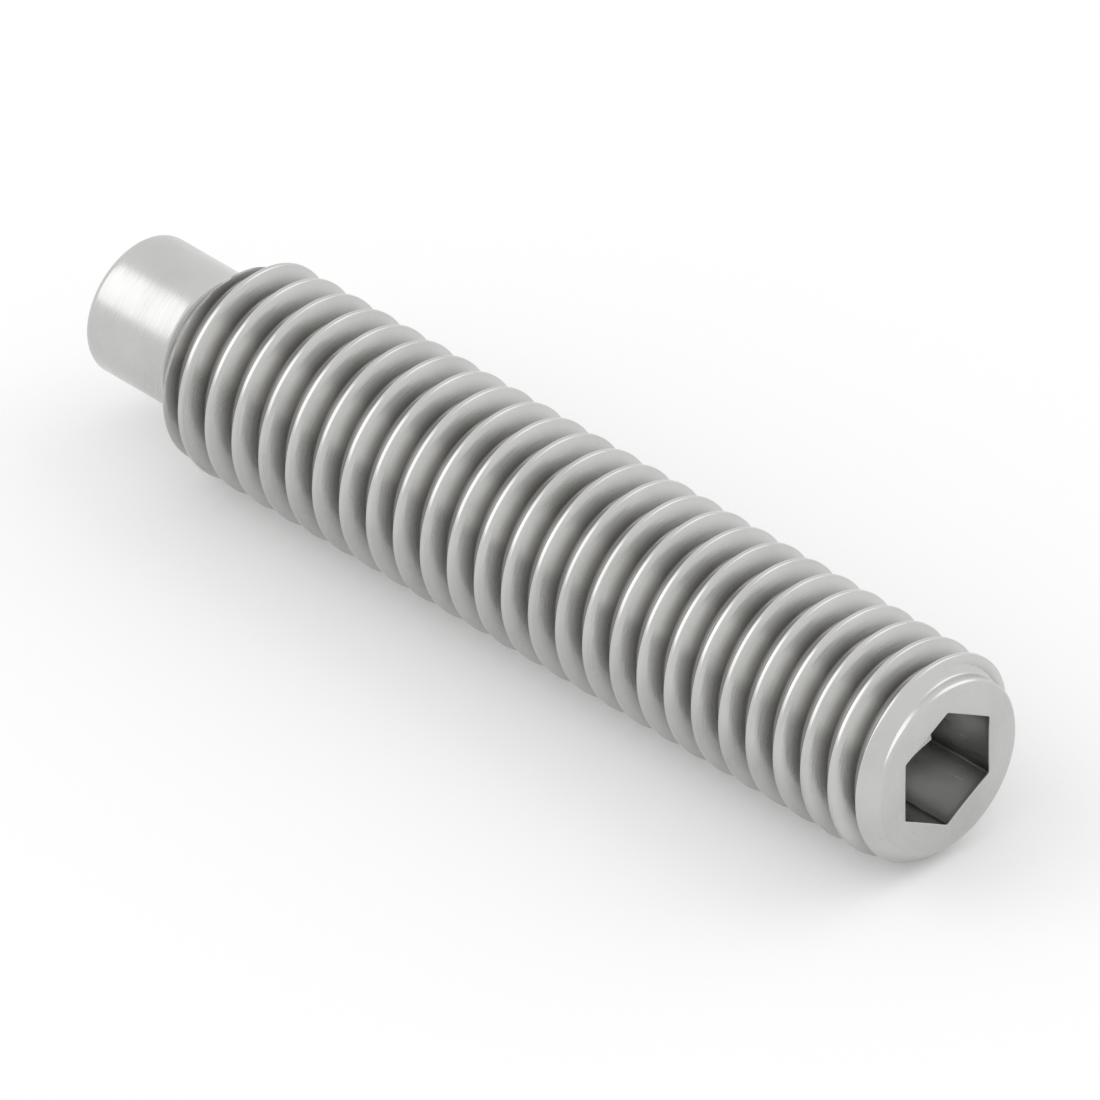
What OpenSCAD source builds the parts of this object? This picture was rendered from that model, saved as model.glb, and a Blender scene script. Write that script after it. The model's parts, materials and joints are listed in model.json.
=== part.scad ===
// Hexagon socket set screw with a dog point, made of one piece of steel.
// The screw lies along X. The end of the dog point is at X = 0, and the socket opens at the +X end.
// Sizes are in millimetres.

/* [Thread] */
// Major diameter, over the crests
thread_d = 6; // [5.4:0.1:8]
// Distance from one crest to the next
pitch = 1; // [0.8:0.05:1.25]
// Angle round the axis at which the thread starts
thread_angle = 50; // [0:10:350]
// Flat steps in one turn of the thread
turn_steps = 36; // [24:4:48]

/* [Body] */
// Overall length, from the end of the dog point to the socket's face
screw_l = 30; // [16:1:40]
// Width of the 45 degree chamfer round the socket's face
chamfer = 0.5; // [0.2:0.05:0.8]

/* [Dog point] */
// Diameter of the dog point
dog_d = 4; // [3:0.1:4.4]
// Length of the dog point, from its end to the foot of the 45 degree neck
dog_l = 3; // [1.5:0.1:6]
// Radius of the hollow where the neck meets the dog point
neck_r = 0.3; // [0.1:0.05:0.5]
// Radius of the edge at the dog point's end
tip_r = 0.25; // [0.1:0.05:0.5]

/* [Socket] */
// Width of the hexagon across its flats
socket_af = 3.08; // [2.5:0.01:3.4]
// Depth of the hexagon's corners
socket_depth = 2.1; // [1:0.1:6]
// Angle of the drill's point below the hexagon
drill_angle = 120; // [90:1:150]

/* [Hidden] */
steel = [0.74, 0.75, 0.76];
$fn = 72;

crest_r = thread_d / 2;
dog_r = dog_d / 2;
face_r = crest_r - chamfer;

// A metric thread is a row of equal-sided triangles. The crests are cut off by 1/8 of their height.
// The rounding of the roots is drawn as a flat, which cuts off 1/6.
crest_flat = pitch / 8;
root_flat = pitch / 6;
root_r = crest_r - (pitch - crest_flat - root_flat) * cos(30);
// One pitch of the thread, as places along the screw and radii
thread_profile = [
    [0, crest_r],
    [crest_flat, crest_r],
    [(pitch + crest_flat - root_flat) / 2, root_r],
    [(pitch + crest_flat + root_flat) / 2, root_r],
];
profile_n = len(thread_profile);

// The thread is made about a turn too long at each end, and the ends are then cut to the turned outline.
overrun_turns = 1.05;
thread_bottom = dog_l - overrun_turns * pitch;
thread_steps = ceil(((screw_l - thread_bottom) / pitch + overrun_turns - 1) * turn_steps);

// Plain metal between the groove's bottom and the ends, so that the groove opens neither neck nor face
plain_gap = 0.06;
plain_r = root_r - plain_gap;
plain_l = dog_l + plain_r - dog_r + plain_gap;
land_r = face_r + plain_gap;

// A right-hand thread round Z, as a ribbon that climbs one pitch a turn and joins its own edge above
module thread_rod() {
    points = [
        for (step = [0 : thread_steps + turn_steps])
            for (corner = step <= thread_steps ? thread_profile : [thread_profile[0]])
                let (turn = step / turn_steps)
                [corner[1] * cos(360 * turn), corner[1] * sin(360 * turn),
                 thread_bottom + pitch * turn + corner[0]],
        [0, 0, thread_bottom],
        [0, 0, thread_bottom + pitch * (thread_steps / turn_steps + 1)],
    ];
    bottom_centre = len(points) - 2;
    top_centre = len(points) - 1;
    // The point's number in the list. Past the profile's end comes the start of the next turn's profile.
    function at(step, corner) =
        corner == profile_n ? at(step + turn_steps, 0)
        : step <= thread_steps ? step * profile_n + corner
        : (thread_steps + 1) * profile_n + step - thread_steps - 1;
    // The open edge of the ribbon's end at a step: once round, then back down the profile
    function rim(step) = [
        for (i = [0 : turn_steps]) at(step + i, 0),
        for (corner = [profile_n - 1 : -1 : 1]) at(step, corner),
    ];
    bottom = rim(0);
    top = rim(thread_steps);
    rim_n = len(bottom);
    sides = [
        for (step = [0 : thread_steps - 1])
            for (corner = [0 : profile_n - 1])
                let (a = at(step, corner), b = at(step, corner + 1),
                     c = at(step + 1, corner + 1), d = at(step + 1, corner))
                each [[a, b, c], [a, c, d]],
    ];
    caps = [
        for (i = [0 : rim_n - 1])
            let (next = (i + 1) % rim_n)
            each [[bottom_centre, bottom[i], bottom[next]], [top_centre, top[next], top[i]]],
    ];
    polyhedron(points = points, faces = concat(sides, caps));
}

// The plain metal at both ends, which the thread's groove fades into
module plain_ends() {
    cylinder(r = plain_r, h = plain_l);
    translate([0, 0, screw_l - chamfer]) {
        cylinder(r = land_r, h = chamfer);
        translate([0, 0, -chamfer]) cylinder(r1 = plain_r, r2 = land_r, h = chamfer);
    }
}

// Half the outline of the turned ends. It stands clear of the crests, which the thread itself makes.
module turned_outline() {
    clear_r = crest_r + pitch;
    neck_tangent = neck_r * tan(22.5);
    neck_foot = dog_l - neck_tangent;
    difference() {
        polygon([
            [0, 0], [dog_r, 0], [dog_r, neck_foot],
            [dog_r + neck_tangent * cos(45), dog_l + neck_tangent * sin(45)],
            [clear_r, dog_l + clear_r - dog_r],
            [clear_r, screw_l - (clear_r - face_r)], [face_r, screw_l], [0, screw_l],
        ]);
        // The hollow between the dog point and the neck
        translate([dog_r + neck_r, neck_foot]) circle(r = neck_r);
        // The rounded edge of the dog point's end
        translate([dog_r - tip_r, 0]) difference() {
            translate([0, -tip_r]) square(2 * tip_r);
            translate([0, tip_r]) circle(r = tip_r);
        }
    }
}

// The hexagon with its corners up and down, and the point that the drill left
module socket() {
    corner_r = socket_af / 2 / cos(30);
    cone_h = corner_r / tan(drill_angle / 2);
    translate([0, 0, screw_l - socket_depth]) {
        cylinder(r = corner_r, h = socket_depth + chamfer, $fn = 6);
        translate([0, 0, -cone_h]) cylinder(r1 = 0, r2 = corner_r, h = cone_h);
    }
}

// The thread with its ends turned. What is round starts half a step away from the thread's own edges.
module threaded_body() {
    half_step = 180 / turn_steps;
    intersection() {
        union() {
            thread_rod();
            rotate(half_step) plain_ends();
        }
        rotate(half_step) rotate_extrude() turned_outline();
    }
}

module set_screw() {
    color(steel) rotate([0, 90, 0]) difference() {
        rotate(thread_angle) threaded_body();
        socket();
    }
}

set_screw();
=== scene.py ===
import json
import math

import bmesh
import bpy
import numpy as np
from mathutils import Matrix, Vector


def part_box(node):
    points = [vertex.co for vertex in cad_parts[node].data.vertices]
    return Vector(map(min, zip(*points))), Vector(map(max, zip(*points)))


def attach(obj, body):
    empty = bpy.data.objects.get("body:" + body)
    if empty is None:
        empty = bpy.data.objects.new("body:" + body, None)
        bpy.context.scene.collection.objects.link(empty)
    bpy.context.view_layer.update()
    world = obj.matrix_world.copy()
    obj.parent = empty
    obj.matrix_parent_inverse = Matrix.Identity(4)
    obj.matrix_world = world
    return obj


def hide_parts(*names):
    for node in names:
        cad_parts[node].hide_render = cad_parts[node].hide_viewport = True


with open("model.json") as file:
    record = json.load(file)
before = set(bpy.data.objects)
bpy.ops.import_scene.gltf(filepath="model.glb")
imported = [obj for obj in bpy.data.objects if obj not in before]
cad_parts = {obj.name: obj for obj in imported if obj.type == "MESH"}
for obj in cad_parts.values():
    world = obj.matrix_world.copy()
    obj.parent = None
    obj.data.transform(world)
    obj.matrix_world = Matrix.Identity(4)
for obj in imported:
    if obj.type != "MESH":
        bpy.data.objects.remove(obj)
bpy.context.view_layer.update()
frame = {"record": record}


# The blank of the screw: a piece of stainless steel bar, turned in a lathe.
# One end is a plain dog point with a rounded edge, a small hollow at its root and a 45 degree neck.
# The screw lies along X with the dog point's end at 0, and its thread rests on the table.
MM = 0.001
screw_low, screw_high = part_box("set_screw")
screw_l = screw_high.x
crest_r = screw_high.y
dog_mount = next(m for m in frame["record"]["mounts"] if m["name"] == "dog_point")
dog_r = dog_mount["dims"]["r_mm"] * MM
dog_l = 3 * MM
neck_round = 0.3 * MM
tip_round = 0.25 * MM
chamfer = 0.5 * MM
face_r = crest_r - chamfer

COLUMNS = 102  # cells of the mesh round the screw, a multiple of the socket's six corners
angles = np.linspace(0, 2 * math.pi, COLUMNS + 1)
level = np.ones(COLUMNS + 1)


def arc(centre_x, centre_r, radius, first, last, count):
    """Places on a round stretch of the outline: the centre plus the radius times the cosine along the
    screw and the sine outwards, with the angle going evenly from first to last, in degrees."""
    turn = np.radians(np.linspace(first, last, count))
    return np.stack([centre_x + radius * np.cos(turn), centre_r + radius * np.sin(turn)], axis=1)


def straight(start, end, count):
    """Places on a straight stretch of the outline, evenly from start to end with both ends left out."""
    share = np.linspace(0, 1, count + 2)[1:-1, None]
    return np.array(start) * (1 - share) + np.array(end) * share


neck_foot = dog_l - neck_round * math.tan(math.radians(22.5))
tip = arc(tip_round, dog_r - tip_round, tip_round, 180, 90, 9)
hollow = arc(neck_foot, dog_r + neck_round, neck_round, -90, -45, 7)
dog_outline = np.concatenate([
    [[0, 0]],
    straight((0, 0), tip[0], 12),
    tip,
    straight(tip[-1], hollow[0], 16),
    hollow,
])


# The thread: a right-hand metric thread, rolled into the blank between two dies.
# The metal flows up out of the groove, so the flanks are smooth and the root is round.
# It starts on the neck, and fades into a narrow land behind the chamfer.
pitch = 1 * MM
crest_flat = pitch / 8
crest_round = 0.05 * MM
flank_slope = math.sqrt(3)
sharp_root_r = crest_r - flank_slope * (pitch - crest_flat) / 2
root_round = pitch * flank_slope / 12
root_r = sharp_root_r + root_round
flank_turn = math.radians(60)
crest_arc_start = crest_flat / 2 - crest_round * math.tan(flank_turn / 2)
crest_arc_w = crest_round * math.sin(flank_turn)
root_arc_w = root_round * math.sin(flank_turn)
first_crest = 2.0125 * MM - pitch * 50 / 360  # where the first crest is at an angle of 0
edge_round = 0.03 * MM
plain_gap = 0.06 * MM  # how far the land stands over the face, and the core under the root


def thread_radius(across):
    """The profile of the thread, by the distance from the middle of a crest. The crest is level, then
    an arc, then the straight flank, which falls the root of three for each step, then the root's arc."""
    away = np.abs(across)
    to_root = pitch / 2 - away
    on_crest = np.clip(away - crest_arc_start, 0, crest_arc_w)
    crest = crest_r - crest_round + np.sqrt(crest_round**2 - on_crest**2)
    in_root = np.clip(to_root, 0, root_arc_w)
    root = sharp_root_r + 2 * root_round - np.sqrt(root_round**2 - in_root**2)
    flank = sharp_root_r + flank_slope * to_root
    return np.where(on_crest < crest_arc_w, crest, np.where(to_root < root_arc_w, root, flank))


def rounded_least(a, b, rounding):
    """The lesser of two values with a rounded corner where they cross: half of their sum, less half
    of the root of their squared difference plus the squared rounding."""
    return (a + b - np.sqrt((a - b) ** 2 + rounding**2)) / 2


def screw_radius(x, angle):
    """The radius at a place along the threaded part and an angle round it. The crests climb one pitch
    a turn. The land lifts the groove near the face, and the two cones cut off what stands proud."""
    climb = pitch * angle / (2 * math.pi)
    across = np.mod(x - first_crest - climb + pitch / 2, pitch) - pitch / 2
    land = np.interp(x, [screw_l - 2 * chamfer, screw_l - chamfer], [root_r - plain_gap, face_r + plain_gap])
    threaded = -rounded_least(-thread_radius(across), -land, edge_round)
    necked = rounded_least(threaded, dog_r + x - dog_l, edge_round)
    return rounded_least(necked, face_r + screw_l - x, edge_round)


def profile_rows(on_flank, on_root):
    """Where the rows of the mesh lie across one pitch of the thread: evenly by angle on the round crest
    and root, and evenly by distance on the flanks between."""
    crest_arc = arc(crest_arc_start, 0, crest_round, 90, 30, 5)[:, 0]
    root_arc = arc(pitch / 2, 0, root_round, 150, 100, on_root)[:, 0]
    flank = np.linspace(crest_arc[-1], root_arc[0], on_flank)[1:-1]
    half = np.concatenate([crest_arc, flank, root_arc])
    return np.concatenate([[0], half, [pitch / 2], pitch - half[::-1]])[:, None]


def thread_rows(start_x, end_x):
    """The places of all rows at each angle. Pitch follows pitch, and a row climbs one pitch a turn. The
    rows are close together in the pitches at both ends. In between they are fewer, and in the pitch
    next to such a change the close rows go evenly, with the angle, to the nearest of the few. What
    lies past an end, or just before it, is drawn onto the end."""
    close, few = profile_rows(16, 9), profile_rows(5, 5)
    nearest = few[np.abs(close - few.T).argmin(1)]
    turned = angles / (2 * math.pi)
    least_gap = 0.1
    thinning = np.where(turned < 1, (1 - least_gap) * turned, 1)
    thickening = np.where(turned > 0, least_gap + (1 - least_gap) * turned, 0)
    pitches = math.ceil((end_x - first_crest) / pitch)
    rows = [close * level] * 2 + [close * (1 - thinning) + nearest * thinning]
    rows += [few * level] * (pitches - 6)
    rows += [nearest * (1 - thickening) + close * thickening] + [close * level] * 2
    x = first_crest + pitch * turned + np.concatenate([row + n * pitch for n, row in enumerate(rows)])
    snap = 0.002 * MM
    x = np.where(x < start_x + snap, start_x, x)
    return np.where(x > end_x - snap, end_x, x)


thread_start_x = 3.3 * MM
thread_end_x = screw_l - 0.04 * MM
thread_x = thread_rows(thread_start_x, thread_end_x)


# The socket: a hexagon for a key, punched into a drilled hole, so a drill's point is left below it.
# Its corners are a little round, and its mouth has a slight edge from the punch.
socket_half = 1.54 * MM
socket_depth = 2.1 * MM
corner_r = socket_half / math.cos(math.radians(30))
corner_rounding = 0.012  # as a share of the hexagon's radius
mouth_round = 0.04 * MM
rim_round = 0.05 * MM
drill_slope = math.tan(math.radians(60))


def hexagon_radius(angle):
    """The hexagon's radius at an angle: the half width over the cosine of the angle from the nearer
    side's middle. Near a corner both sides count, which rounds it."""
    sixth = math.pi / 3
    from_corner = np.abs(np.mod(angle + sixth / 2, sixth) - sixth / 2)
    near, far = np.cos(sixth / 2 - from_corner), np.cos(sixth / 2 + from_corner)
    return socket_half / -rounded_least(-near, -far, corner_rounding)


def crowded_angles():
    """The columns' angles in the socket: within each sixth of a turn the distance from the corner goes
    by its cube and a little of itself, so that columns crowd at the corners."""
    crowding = 0.8
    part = np.mod(angles * 3 / math.pi + 0.5, 1) - 0.5
    return angles + crowding * (4 * part**3 - part) * math.pi / 3


socket_angles = crowded_angles()
hexagon = hexagon_radius(socket_angles)


# The skin of the screw: three grids, which meet at two plain rings and are joined into one mesh.
# Each cell keeps which tool made it, and places along and across that tool's marks.
def cells(values):
    """The values at the four corners of each cell of a grid, in the order that turns its face outwards."""
    return np.stack([values[:-1, :-1], values[:-1, 1:], values[1:, 1:], values[1:, :-1]], axis=-1)


def whole_ring(outline):
    """Places on the outline, each as a full ring: its place along the screw, radius and angles."""
    return outline[:, :1] * level, outline[:, 1:] * level, angles * np.ones((len(outline), 1))


def helix_marks(x, angle):
    """Along and across the thread, in millimetres, at the corners of cells. A cell belongs to the crest
    nearest its middle, and along counts that crest's turns. A flank is twice as long as it is wide."""
    turns = angle / (2 * math.pi)
    crest = np.round(((x - first_crest) / pitch - turns).mean(-1, keepdims=True))
    across = x - first_crest - pitch * (turns + crest)
    slant = np.where(np.abs(across) > crest_flat / 2, 2, 1)
    return np.stack([(crest + turns) * 2 * math.pi * crest_r, across * slant], axis=-1) / MM


def ring_marks(x, r, angle):
    """Along and across the rings that a lathe tool leaves, in millimetres: the way round, and the
    distance gone along the outline."""
    step = np.hypot(np.diff(x, axis=0), np.diff(r, axis=0))
    gone = np.concatenate([np.zeros((1, x.shape[1])), np.cumsum(step, axis=0)])
    return np.stack([cells(angle * r), cells(gone)], axis=-1) / MM


def chamfer_marks(x, r, angle):
    """The same on the chamfer, where the distance gone is the way along less the radius, over the
    root of two."""
    return np.stack([cells(angle * r), cells(x - r) / math.sqrt(2)], axis=-1) / MM


def wall_marks(x, angle):
    """Along and across the marks of the punch, in millimetres: the depth, and the way round."""
    return np.stack([cells(x), cells(angle) * socket_half], axis=-1) / MM


ROLLED, TURNED, PUNCHED = range(3)
patches = []


def add_patch(x, r, angle, marks, finishes):
    """Keeps a grid of the surface: its points, and each cell's marks and finish."""
    points = np.stack([x, r * np.sin(angle), -r * np.cos(angle)], axis=-1)
    patches.append((points, marks, finishes))


# the dog point and the foot of the neck
dog_x, dog_rings, dog_angles = whole_ring(dog_outline)
neck_x = np.linspace(dog_outline[-1, 0], thread_start_x, 6)[1:, None] * level
neck_angles = angles * np.ones((len(neck_x), 1))
x = np.concatenate([dog_x, neck_x])
r = np.concatenate([dog_rings, screw_radius(neck_x, neck_angles)])
angle = np.concatenate([dog_angles, neck_angles])
add_patch(x, r, angle, ring_marks(x, r, angle), np.full((len(x) - 1, COLUMNS), TURNED))

# the thread and the chamfer
angle = angles * np.ones((len(thread_x), 1))
r = screw_radius(thread_x, angle)
on_chamfer = cells(thread_x).mean(-1) > screw_l - chamfer
marks = np.where(on_chamfer[..., None, None], chamfer_marks(thread_x, r, angle),
                 helix_marks(cells(thread_x), cells(angle)))
add_patch(thread_x, r, angle, marks, np.where(on_chamfer, TURNED, ROLLED))

# the face with its rim, and the socket with its mouth, walls and drill's point
edge_x = np.array([[thread_end_x], [screw_l - 0.025 * MM]]) * level
edge_angles = angles * np.ones((len(edge_x), 1))
edge_r = screw_radius(edge_x, edge_angles)
rim_reach = rim_round * math.tan(math.radians(22.5))
rim = arc(screw_l - rim_round, face_r - rim_reach, rim_round, 45, 0, 5)[1:]
rim_x, rim_r, rim_angles = whole_ring(rim)
mouth = arc(screw_l - mouth_round, 0, mouth_round, 0, -90, 6)
mouth_r = hexagon + mouth_round + mouth[:, 1:]
share = np.array([0.03, 0.15, 0.3, 0.45, 0.6, 0.75, 0.88, 0.96])[:, None]
face_r_rows = rim_r[-1] * (1 - share) + mouth_r[0] * share
face_angles = angles * (1 - share) + socket_angles * share
face_x = screw_l * np.ones_like(face_r_rows)
wall_end = screw_l - socket_depth - (corner_r - hexagon) / drill_slope
wall_share = np.linspace(0, 1, 14)[1:, None]
wall_x = (screw_l - mouth_round) * (1 - wall_share) + wall_end * wall_share
wall_r = hexagon * np.ones_like(wall_share)
cone_share = np.array([0.1, 0.25, 0.4, 0.55, 0.7, 0.82, 0.92, 1])[:, None]
cone_r = hexagon * (1 - cone_share)
cone_x = wall_end - (hexagon - cone_r) / drill_slope
x = np.concatenate([edge_x, rim_x, face_x, mouth[:, :1] * level, wall_x, cone_x])
r = np.concatenate([edge_r, rim_r, face_r_rows, mouth_r, wall_r, cone_r])
in_socket = socket_angles * np.ones((len(mouth) + len(wall_x) + len(cone_x), 1))
angle = np.concatenate([edge_angles, rim_angles, face_angles, in_socket])
mouth_row = len(edge_x) + len(rim_x) + len(face_x)
punched = slice(mouth_row + 2, mouth_row + len(mouth) + len(wall_x) - 1)
marks = ring_marks(x, r, angle)
marks[punched] = wall_marks(x, angle)[punched]
finishes = np.full((len(x) - 1, COLUMNS), TURNED)
finishes[punched] = PUNCHED
add_patch(x, r, angle, marks, finishes)


def join_patches(name):
    """One closed mesh of all the grids: their points numbered one after another, four-cornered faces,
    and points that coincide at seams, poles and joints merged. Edges sharper than 42 degrees stay sharp."""
    points, marks, finishes = zip(*patches)
    first = np.cumsum([0] + [p.shape[0] * p.shape[1] for p in points])
    faces = [
        cells(start + np.arange(p.shape[0] * p.shape[1]).reshape(p.shape[:2])).reshape(-1, 4)
        for start, p in zip(first, points)
    ]
    mesh = bpy.data.meshes.new(name)
    mesh.from_pydata(np.concatenate([p.reshape(-1, 3) for p in points]), [], np.concatenate(faces))
    finish = np.concatenate([f.ravel() for f in finishes]).astype(np.int32)
    mesh.polygons.foreach_set("material_index", finish)
    uv = mesh.uv_layers.new(name="marks")
    uv.data.foreach_set("uv", np.concatenate([m.reshape(-1) for m in marks]).astype(np.float32))
    merged = bmesh.new()
    merged.from_mesh(mesh)
    bmesh.ops.remove_doubles(merged, verts=merged.verts, dist=0.0002 * MM)
    merged.to_mesh(mesh)
    merged.free()
    mesh.set_sharp_from_angle(angle=math.radians(42))
    return mesh


screw = bpy.data.objects.new("screw_skin", join_patches("screw_skin"))
bpy.context.scene.collection.objects.link(screw)


# The finish: bare stainless steel, with the marks of the dies, the lathe and the punch left on it.
# The crests keep the bare steel's colour, and the roots of the thread and the corners of the socket are
# painted darker: painted shade, with a little rolling oil.
def new_group(name, inputs, output):
    """A shader node group with its named inputs and one number out. An input is its name, kind and
    value."""
    tree = bpy.data.node_groups.new(name, "ShaderNodeTree")
    for label, kind, value in inputs:
        tree.interface.new_socket(label, in_out="INPUT", socket_type=kind).default_value = value
    tree.interface.new_socket(output, in_out="OUTPUT", socket_type="NodeSocketFloat")
    return tree, tree.nodes.new("NodeGroupInput"), tree.nodes.new("NodeGroupOutput")


def tool_marks_group():
    """Long thin marks: noise over the marks' own coordinates, stretched by the marks per millimetre."""
    tree, given, made = new_group("tool_marks", [("Marks per mm", "NodeSocketVector", (1, 10, 1))], "Height")
    uv = tree.nodes.new("ShaderNodeUVMap")
    uv.uv_map = "marks"
    stretch = tree.nodes.new("ShaderNodeVectorMath")
    stretch.operation = "MULTIPLY"
    tree.links.new(uv.outputs["UV"], stretch.inputs[0])
    tree.links.new(given.outputs["Marks per mm"], stretch.inputs[1])
    noise = tree.nodes.new("ShaderNodeTexNoise")
    noise.inputs["Scale"].default_value = 1
    noise.inputs["Detail"].default_value = 3
    tree.links.new(stretch.outputs["Vector"], noise.inputs["Vector"])
    tree.links.new(noise.outputs["Fac"], made.inputs["Height"])
    return tree


def reach_group():
    """A mask by the distance from the screw's axis, in millimetres: 0 up to the low one, and smoothly
    up to 1 at the high one."""
    limits = [("Low", "NodeSocketFloat", 0), ("High", "NodeSocketFloat", 1)]
    tree, given, made = new_group("reach_from_axis", limits, "Mask")
    place = tree.nodes.new("ShaderNodeTexCoord")
    across = tree.nodes.new("ShaderNodeVectorMath")
    across.operation = "MULTIPLY"
    across.inputs[1].default_value = (0, 1 / MM, 1 / MM)
    tree.links.new(place.outputs["Object"], across.inputs[0])
    length = tree.nodes.new("ShaderNodeVectorMath")
    length.operation = "LENGTH"
    tree.links.new(across.outputs["Vector"], length.inputs[0])
    ramp = tree.nodes.new("ShaderNodeMapRange")
    ramp.interpolation_type = "SMOOTHSTEP"
    tree.links.new(length.outputs["Value"], ramp.inputs["Value"])
    tree.links.new(given.outputs["Low"], ramp.inputs["From Min"])
    tree.links.new(given.outputs["High"], ramp.inputs["From Max"])
    tree.links.new(ramp.outputs["Result"], made.inputs["Mask"])
    return tree


def dull_patches_group():
    """Faint dull patches: soft noise in space, with the low part cut off and the rest spread to 1."""
    tree, given, made = new_group("dull_patches", [("Patches per m", "NodeSocketFloat", 500)], "Mask")
    place = tree.nodes.new("ShaderNodeTexCoord")
    noise = tree.nodes.new("ShaderNodeTexNoise")
    noise.inputs["Detail"].default_value = 4
    tree.links.new(place.outputs["Object"], noise.inputs["Vector"])
    tree.links.new(given.outputs["Patches per m"], noise.inputs["Scale"])
    spread = tree.nodes.new("ShaderNodeMapRange")
    spread.inputs["From Min"].default_value = 0.45
    spread.inputs["From Max"].default_value = 0.75
    tree.links.new(noise.outputs["Fac"], spread.inputs["Value"])
    tree.links.new(spread.outputs["Result"], made.inputs["Mask"])
    return tree


tool_marks, reach_from_axis, dull_patches = tool_marks_group(), reach_group(), dull_patches_group()


def steel(name, inner, outer, reach_mm, roughness, marks_per_mm, depth):
    """Bare steel: the colour goes from inner to outer over a reach from the axis, and is a tenth darker
    in the dull patches. The roughness goes from its low to its high value with the tool marks, plus 0.08
    in the patches, and depth is the height of the marks."""
    material = bpy.data.materials.new(name)
    material.use_nodes = True
    nodes, links = material.node_tree.nodes, material.node_tree.links
    shader = nodes["Principled BSDF"]
    shader.inputs["Metallic"].default_value = 1

    marks, reach, dull = (nodes.new("ShaderNodeGroup") for _ in range(3))
    marks.node_tree, reach.node_tree, dull.node_tree = tool_marks, reach_from_axis, dull_patches
    marks.inputs["Marks per mm"].default_value = marks_per_mm
    reach.inputs["Low"].default_value, reach.inputs["High"].default_value = reach_mm

    colour = nodes.new("ShaderNodeMix")
    colour.data_type = "RGBA"
    colour.inputs["A"].default_value = (*inner, 1)
    colour.inputs["B"].default_value = (*outer, 1)
    links.new(reach.outputs["Mask"], colour.inputs["Factor"])
    darker = nodes.new("ShaderNodeMix")
    darker.data_type = "RGBA"
    darker.blend_type = "MULTIPLY"
    darker.inputs["B"].default_value = (0.9, 0.9, 0.89, 1)
    links.new(dull.outputs["Mask"], darker.inputs["Factor"])
    links.new(colour.outputs["Result"], darker.inputs["A"])
    links.new(darker.outputs["Result"], shader.inputs["Base Color"])

    by_marks = nodes.new("ShaderNodeMapRange")
    by_marks.inputs["From Min"].default_value = 0.3
    by_marks.inputs["From Max"].default_value = 0.7
    by_marks.inputs["To Min"].default_value, by_marks.inputs["To Max"].default_value = roughness
    links.new(marks.outputs["Height"], by_marks.inputs["Value"])
    rougher = nodes.new("ShaderNodeMath")
    rougher.operation = "MULTIPLY_ADD"
    rougher.inputs[1].default_value = 0.08
    links.new(dull.outputs["Mask"], rougher.inputs[0])
    links.new(by_marks.outputs["Result"], rougher.inputs[2])
    links.new(rougher.outputs["Value"], shader.inputs["Roughness"])

    bump = nodes.new("ShaderNodeBump")
    bump.inputs["Distance"].default_value = depth
    links.new(marks.outputs["Height"], bump.inputs["Height"])
    links.new(bump.outputs["Normal"], shader.inputs["Normal"])
    return material


# oil_and_painted_shade is painted shade with a little rolling oil: the thread darkens from crest to root, and
# the socket from wall to corner.
bright, cut, oil_and_painted_shade = (0.56, 0.56, 0.55), (0.52, 0.52, 0.51), (0.21, 0.206, 0.198)
for material in (
    # painted shade: the thread's colour darkens from the crests down into the roots
    steel("rolled_steel", oil_and_painted_shade, bright, (2.38, 2.92), (0.15, 0.27), (0.8, 12, 1), 0.002 * MM),
    steel("turned_steel", cut, bright, (1.2, 2), (0.17, 0.3), (0.5, 14, 1), 0.003 * MM),
    # painted shade: the socket's walls darken towards its corners
    steel("punched_steel", cut, oil_and_painted_shade, (1.56, 1.78), (0.24, 0.38), (0.8, 10, 1), 0.002 * MM),
):
    screw.data.materials.append(material)
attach(screw, "root")
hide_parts("set_screw")


# The table: a plain white board that the screw lies on.
# It is white to the camera and in reflections, and keeps the screw's shadow.
def white_for_sight(tree, plain):
    """A strength of 1 where the camera, a reflection or a refraction looks, and plain for all other
    rays, as the pair (plain, sight)."""
    path = tree.nodes.new("ShaderNodeLightPath")
    most = path.outputs["Is Camera Ray"]
    for ray in ("Is Glossy Ray", "Is Transmission Ray"):
        larger = tree.nodes.new("ShaderNodeMath")
        larger.operation = "MAXIMUM"
        tree.links.new(most, larger.inputs[0])
        tree.links.new(path.outputs[ray], larger.inputs[1])
        most = larger.outputs["Value"]
    strength = tree.nodes.new("ShaderNodeMapRange")
    strength.inputs["To Min"].default_value, strength.inputs["To Max"].default_value = plain
    tree.links.new(most, strength.inputs["Value"])
    return strength.outputs["Result"]


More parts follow.
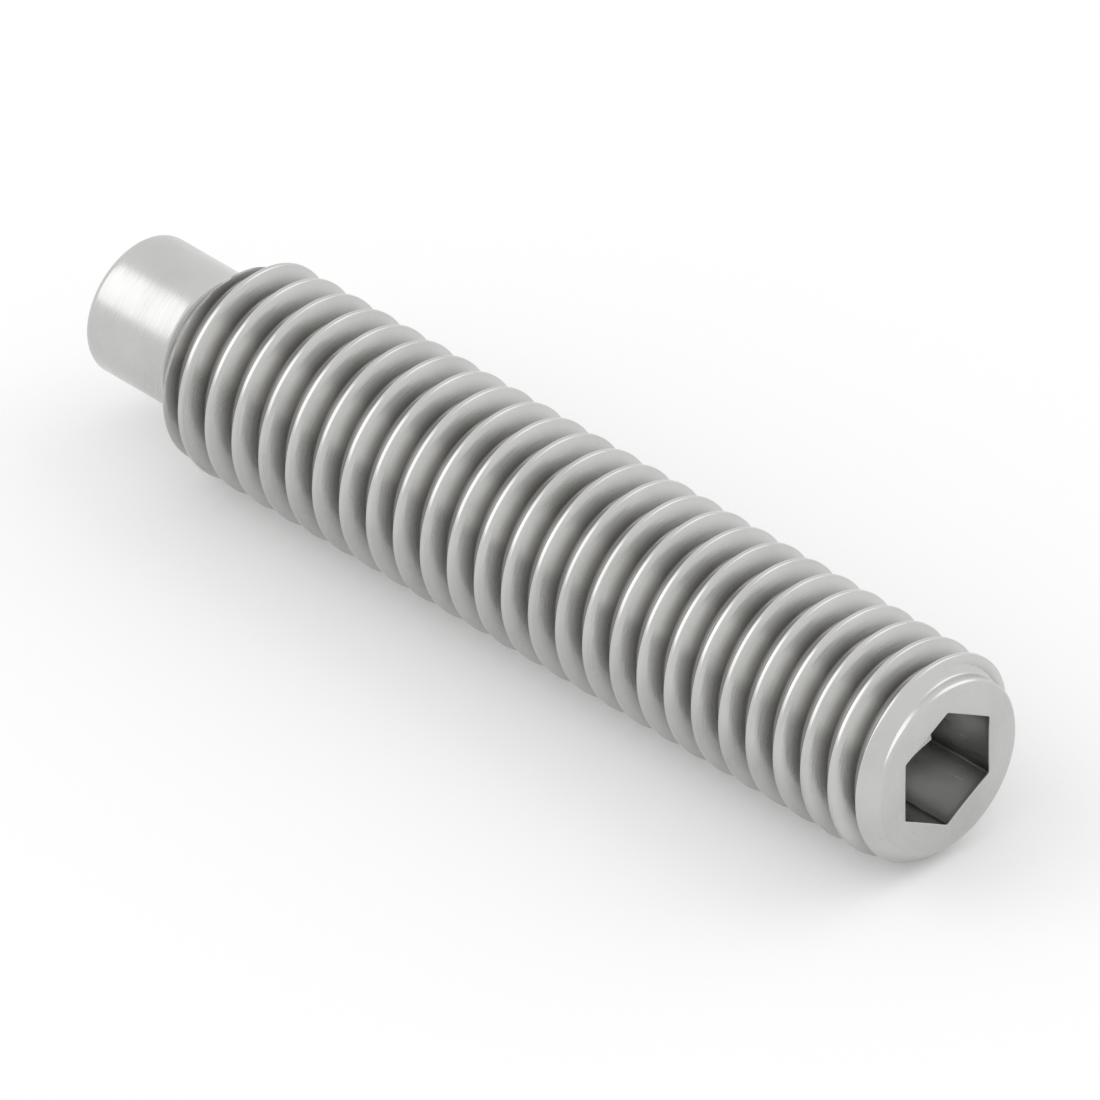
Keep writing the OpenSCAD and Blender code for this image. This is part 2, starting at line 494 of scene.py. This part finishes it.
table_half = 1.5
table_z = screw_low.z
table_corners = [(x, y, table_z) for x, y in ((-1, -1), (1, -1), (1, 1), (-1, 1))]
table_mesh = bpy.data.meshes.new("table")
table_mesh.from_pydata([(table_half * x, table_half * y, z) for x, y, z in table_corners], [], [(0, 1, 2, 3)])
table = bpy.data.objects.new("table", table_mesh)
bpy.context.scene.collection.objects.link(table)
board = bpy.data.materials.new("white_board")
board.use_nodes = True
nodes, links = board.node_tree.nodes, board.node_tree.links
nodes.remove(nodes["Principled BSDF"])
paint = nodes.new("ShaderNodeBsdfDiffuse")
paint.inputs["Color"].default_value = (0.88, 0.88, 0.88, 1)
glow = nodes.new("ShaderNodeEmission")
links.new(white_for_sight(board.node_tree, (0, 0.18)), glow.inputs["Strength"])
both = nodes.new("ShaderNodeAddShader")
links.new(paint.outputs["BSDF"], both.inputs[0])
links.new(glow.outputs["Emission"], both.inputs[1])
links.new(both.outputs["Shader"], nodes["Material Output"].inputs["Surface"])
table_mesh.materials.append(board)


# The light: a white room, with one large soft lamp to the left in front and another behind.
world = bpy.data.worlds.new("white_room")
bpy.context.scene.world = world
world.use_nodes = True
background = world.node_tree.nodes["Background"]
world.node_tree.links.new(white_for_sight(world.node_tree, (0.74, 1)), background.inputs["Strength"])
background.inputs["Color"].default_value = (1, 1, 1, 1)

screw_middle = Vector((screw_l / 2, 0, 0))
lamp_distance = 2


def soft_lamp(name, direction, size, power):
    """A square area lamp that looks at the screw's middle from a direction."""
    lamp = bpy.data.lights.new(name, "AREA")
    lamp.shape = "SQUARE"
    lamp.size = size
    lamp.energy = power
    holder = bpy.data.objects.new(name, lamp)
    away = Vector(direction).normalized()
    holder.location = screw_middle + away * lamp_distance
    holder.rotation_euler = away.to_track_quat("Z", "Y").to_euler()
    bpy.context.scene.collection.objects.link(holder)


soft_lamp("key_lamp", (-0.45, -0.6, 0.62), 1.9, 9.5)
soft_lamp("back_lamp", (0.3, 0.8, 0.7), 1.7, 6.4)


# The camera looks down on the screw from the socket's side, in an even three-axis view.
camera_distance = 1.25
view_w = 28.78 * MM
target = Vector((15.384 * MM, 0, -0.332 * MM))
camera = bpy.data.cameras.new("camera")
camera.sensor_width = 36
camera.lens = camera.sensor_width * camera_distance / view_w
camera.clip_start, camera.clip_end = 0.1, 10
stand = bpy.data.objects.new("camera", camera)
back = Vector((1, -1, 1)).normalized()
stand.location = target + back * camera_distance
stand.rotation_euler = back.to_track_quat("Z", "Y").to_euler()
bpy.context.scene.collection.objects.link(stand)
bpy.context.scene.camera = stand
bpy.context.scene.view_settings.view_transform = "Standard"
